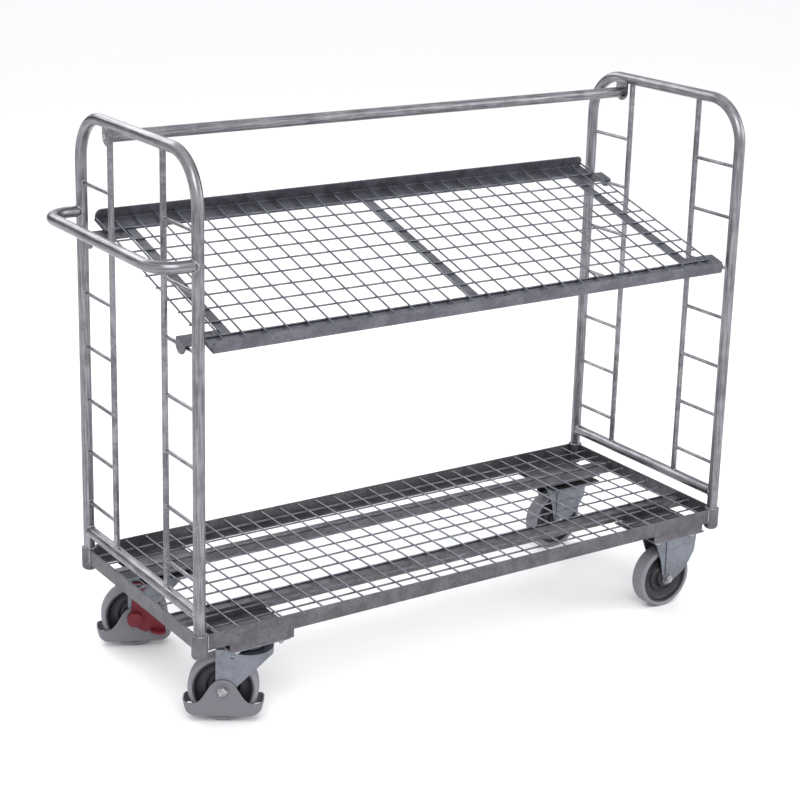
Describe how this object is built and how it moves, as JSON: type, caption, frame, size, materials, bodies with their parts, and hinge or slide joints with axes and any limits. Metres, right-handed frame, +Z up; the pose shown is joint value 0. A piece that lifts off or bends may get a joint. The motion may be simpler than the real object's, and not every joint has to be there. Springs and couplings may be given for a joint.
{
  "type": "platform trolley",
  "caption": "Long wire-deck platform trolley with tubular end frames, a lift-off sloping wire shelf, push handle, tie bar and braked swivel casters.",
  "frame": {"origin": "middle of the trolley's footprint at floor level", "axes": "+X along the length away from the push handle, +Y from the shelf's low front to its high rear, +Z up"},
  "size_m": [1.5004, 0.5698, 1.236],
  "materials": {
    "zinc_base": "mottled galvanised",
    "zinc_tube": "bright galvanised tube",
    "zinc_wire": "bright galvanised wire",
    "zinc_shelf": "blue-grey galvanised sheet",
    "zinc_fork": "blue passivated zinc plate",
    "bolt_zinc": "bright zinc plate",
    "hard_steel": "ground steel",
    "wheel_black": "moulded satin",
    "tyre_grey": "matt elastic rubber",
    "guard_grey": "moulded satin",
    "pedal_red": "moulded satin"
  },
  "bodies": {
    "frame": {"base_rail_front": "zinc_base", "base_rail_rear": "zinc_base", "base_rail_left": "zinc_base", "base_rail_right": "zinc_base", "corner_sockets": "zinc_base", "support_channel_front": "zinc_base", "support_channel_rear": "zinc_base", "caster_mount_pads": "zinc_base", "socket_end_caps": "zinc_base", "platform_long_wires": "zinc_wire", "platform_cross_wires": "zinc_wire", "hoop_left": "zinc_tube", "hoop_right": "zinc_tube", "lower_tube_left": "zinc_tube", "lower_tube_right": "zinc_tube", "inner_posts_left": "zinc_tube", "inner_posts_right": "zinc_tube", "rungs_left": "zinc_tube", "rungs_right": "zinc_tube", "push_handle": "zinc_tube", "tie_bar": "zinc_tube", "tie_bar_brackets": "zinc_tube", "tie_bar_bolts": "bolt_zinc", "caster_bolts": "bolt_zinc", "caster_nuts": "bolt_zinc", "fixed_axles": "bolt_zinc", "fixed_axle_nuts": "bolt_zinc", "swivel_top_plates": "zinc_fork", "fixed_forks": "zinc_fork", "kingpins": "hard_steel"},
    "shelf": {"shelf_front_rail": "zinc_shelf", "shelf_rear_rail": "zinc_shelf", "shelf_straps": "zinc_shelf", "shelf_hooks": "zinc_shelf", "shelf_long_wires": "zinc_wire", "shelf_cross_wires": "zinc_wire"},
    "front_swivel": {"front_swivel_fork": "zinc_fork", "front_swivel_balls": "hard_steel", "front_swivel_axle": "bolt_zinc", "front_foot_guard": "guard_grey"},
    "front_pedal": {"front_brake_pedal": "pedal_red"},
    "front_shoe": {"front_brake_shoe": "hard_steel"},
    "rear_swivel": {"rear_swivel_fork": "zinc_fork", "rear_swivel_balls": "hard_steel", "rear_swivel_axle": "bolt_zinc", "rear_foot_guard": "guard_grey"},
    "rear_pedal": {"rear_brake_pedal": "pedal_red"},
    "rear_shoe": {"rear_brake_shoe": "hard_steel"},
    "front_left_wheel": {"front_left_wheel_core": "wheel_black", "front_left_tyre": "tyre_grey", "front_left_bearings": "hard_steel"},
    "rear_left_wheel": {"rear_left_wheel_core": "wheel_black", "rear_left_tyre": "tyre_grey", "rear_left_bearings": "hard_steel"},
    "front_right_wheel": {"front_right_wheel_core": "wheel_black", "front_right_tyre": "tyre_grey", "front_right_bearings": "hard_steel"},
    "rear_right_wheel": {"rear_right_wheel_core": "wheel_black", "rear_right_tyre": "tyre_grey", "rear_right_bearings": "hard_steel"}
  },
  "joints": [
    {"name": "shelf_lift", "type": "slide", "parent": "frame", "child": "shelf", "axis": [0, 0, 1], "range_m": [0, 0.09]},
    {"name": "front_swivel_turn", "type": "hinge", "parent": "frame", "child": "front_swivel", "pos_m": [-0.50825, -0.21693, 0.168], "axis": [0, 0, 1], "continuous": true},
    {"name": "front_left_wheel_spin", "type": "hinge", "parent": "front_swivel", "child": "front_left_wheel", "pos_m": [-0.55369, -0.18776, 0.075], "axis": [0.5402, 0.8415, 0], "continuous": true},
    {"name": "front_pedal_press", "type": "hinge", "parent": "front_swivel", "child": "front_pedal", "pos_m": [-0.55369, -0.18776, 0.075], "axis": [0.5402, 0.8415, 0], "range_deg": [0, 16]},
    {"name": "front_shoe_slide", "type": "slide", "parent": "front_swivel", "child": "front_shoe", "axis": [-0.2178, 0.1398, -0.9659], "range_m": [0, 0.0017]},
    {"name": "rear_swivel_turn", "type": "hinge", "parent": "frame", "child": "rear_swivel", "pos_m": [-0.50825, 0.20607, 0.168], "axis": [0, 0, 1], "continuous": true},
    {"name": "rear_left_wheel_spin", "type": "hinge", "parent": "rear_swivel", "child": "rear_left_wheel", "pos_m": [-0.55739, 0.22846, 0.075], "axis": [0.4147, 0.91, 0], "continuous": true},
    {"name": "rear_pedal_press", "type": "hinge", "parent": "rear_swivel", "child": "rear_pedal", "pos_m": [-0.55739, 0.22846, 0.075], "axis": [0.4147, 0.91, 0], "range_deg": [0, 16]},
    {"name": "rear_shoe_slide", "type": "slide", "parent": "rear_swivel", "child": "rear_shoe", "axis": [-0.2355, 0.1073, -0.9659], "range_m": [0, 0.0017]},
    {"name": "front_right_wheel_spin", "type": "hinge", "parent": "frame", "child": "front_right_wheel", "pos_m": [0.62775, -0.21693, 0.075], "axis": [0, 1, 0], "continuous": true},
    {"name": "rear_right_wheel_spin", "type": "hinge", "parent": "frame", "child": "rear_right_wheel", "pos_m": [0.62775, 0.20607, 0.075], "axis": [0, 1, 0], "continuous": true}
  ],
  "couplings": [
    {"joint": "front_shoe_slide", "follows": "front_pedal_press", "m_per_rad": 0.0060876},
    {"joint": "rear_shoe_slide", "follows": "rear_pedal_press", "m_per_rad": 0.0060876}
  ]
}
